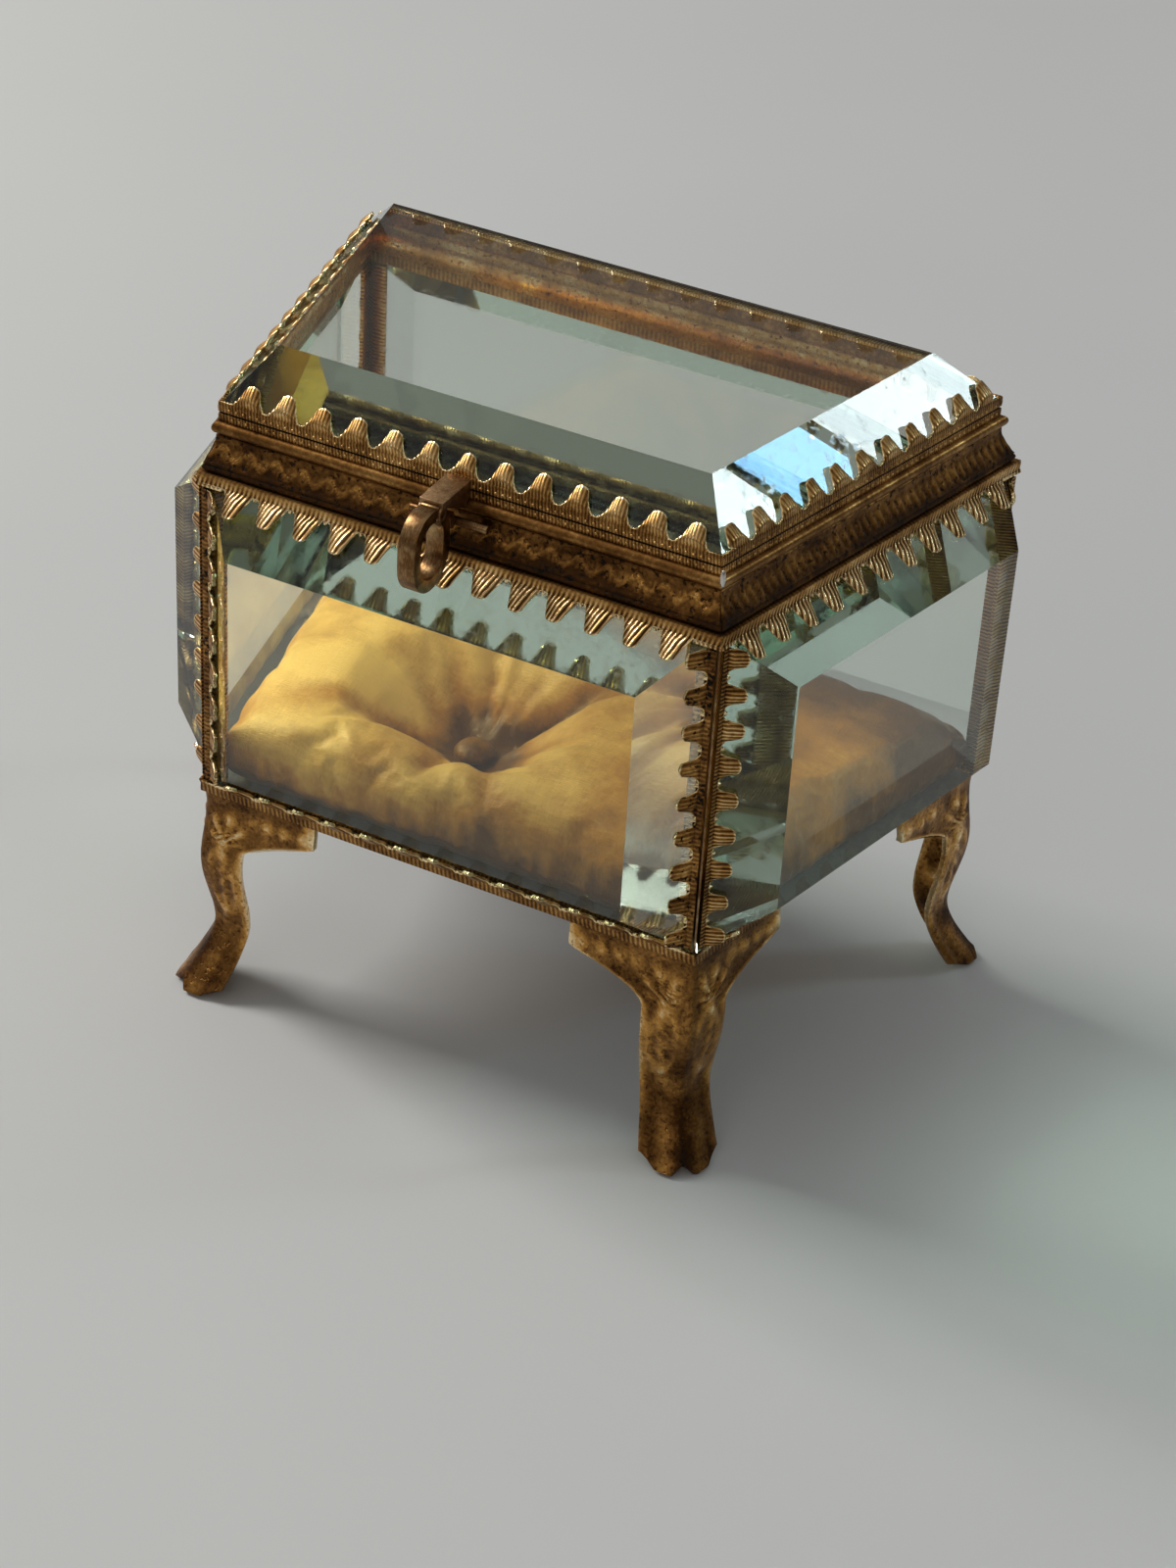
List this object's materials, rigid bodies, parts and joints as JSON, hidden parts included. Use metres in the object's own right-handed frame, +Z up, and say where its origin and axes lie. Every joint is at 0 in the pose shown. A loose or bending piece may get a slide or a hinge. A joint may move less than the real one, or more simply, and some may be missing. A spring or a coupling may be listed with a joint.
{
  "type": "glass casket box",
  "caption": "Small trinket casket of thick bevelled glass panes held in toothed gilt brass strips, on stamped legs, with a hinged lid, ring latch and buttoned satin pad.",
  "frame": {"origin": "centre of the bounding box's underside, on the floor under the casket", "axes": "+Z up, -Y towards the latch, +Y towards the hinge, +X to the right seen from the front"},
  "size_m": [0.087, 0.0618, 0.0769],
  "materials": {
    "gilt_brass": "aged gilt, stamped, dark patina in the hollows",
    "foot_brass": "aged gilt, chased relief, brown patina",
    "polished_brass": "worn bright",
    "dark_brass": "dull, dark brown",
    "glass": "clear, faint sea green, polished bevels",
    "satin": "golden satin",
    "card": "plain"
  },
  "bodies": {
    "box": {"base_plate": "dark_brass", "front_glass": "glass", "right_glass": "glass", "back_glass": "glass", "left_glass": "glass", "lower_strip_front": "gilt_brass", "lower_strip_right": "gilt_brass", "lower_strip_back": "gilt_brass", "lower_strip_left": "gilt_brass", "upper_strip_front": "gilt_brass", "upper_strip_right": "gilt_brass", "upper_strip_back": "gilt_brass", "upper_strip_left": "gilt_brass", "post_strip_front_left": "gilt_brass", "post_strip_front_right": "gilt_brass", "post_strip_right_front": "gilt_brass", "post_strip_right_back": "gilt_brass", "post_strip_back_right": "gilt_brass", "post_strip_back_left": "gilt_brass", "post_strip_left_back": "gilt_brass", "post_strip_left_front": "gilt_brass", "corner_post_front_left": "polished_brass", "corner_post_front_right": "polished_brass", "corner_post_back_right": "polished_brass", "corner_post_back_left": "polished_brass", "rim_band_front": "gilt_brass", "rim_band_right": "gilt_brass", "rim_band_back": "gilt_brass", "rim_band_left": "gilt_brass", "foot_front_left": "foot_brass", "foot_front_right": "foot_brass", "foot_back_right": "foot_brass", "foot_back_left": "foot_brass", "cushion_card": "card", "cushion": "satin", "cushion_button": "satin", "catch_bar": "gilt_brass", "hinge_leaf_box": "gilt_brass", "hinge_pin": "polished_brass"},
    "lid": {"lid_glass": "glass", "lid_strip_front": "gilt_brass", "lid_strip_right": "gilt_brass", "lid_strip_back": "gilt_brass", "lid_strip_left": "gilt_brass", "lid_moulding_front": "gilt_brass", "lid_moulding_right": "gilt_brass", "lid_moulding_back": "gilt_brass", "lid_moulding_left": "gilt_brass", "hinge_leaf_lid": "gilt_brass", "thumb_plate": "gilt_brass", "latch_pin": "polished_brass"},
    "latch": {"latch_ring": "polished_brass"}
  },
  "joints": [
    {"name": "lid_hinge", "type": "hinge", "parent": "box", "child": "lid", "pos_m": [0, 0.02609, 0.06805], "axis": [-1, 0, 0], "range_deg": [0, 105]},
    {"name": "latch_swing", "type": "hinge", "parent": "lid", "child": "latch", "pos_m": [-0.0004, -0.02607, 0.0703], "axis": [-1, 0, 0], "range_deg": [0, 25]}
  ]
}
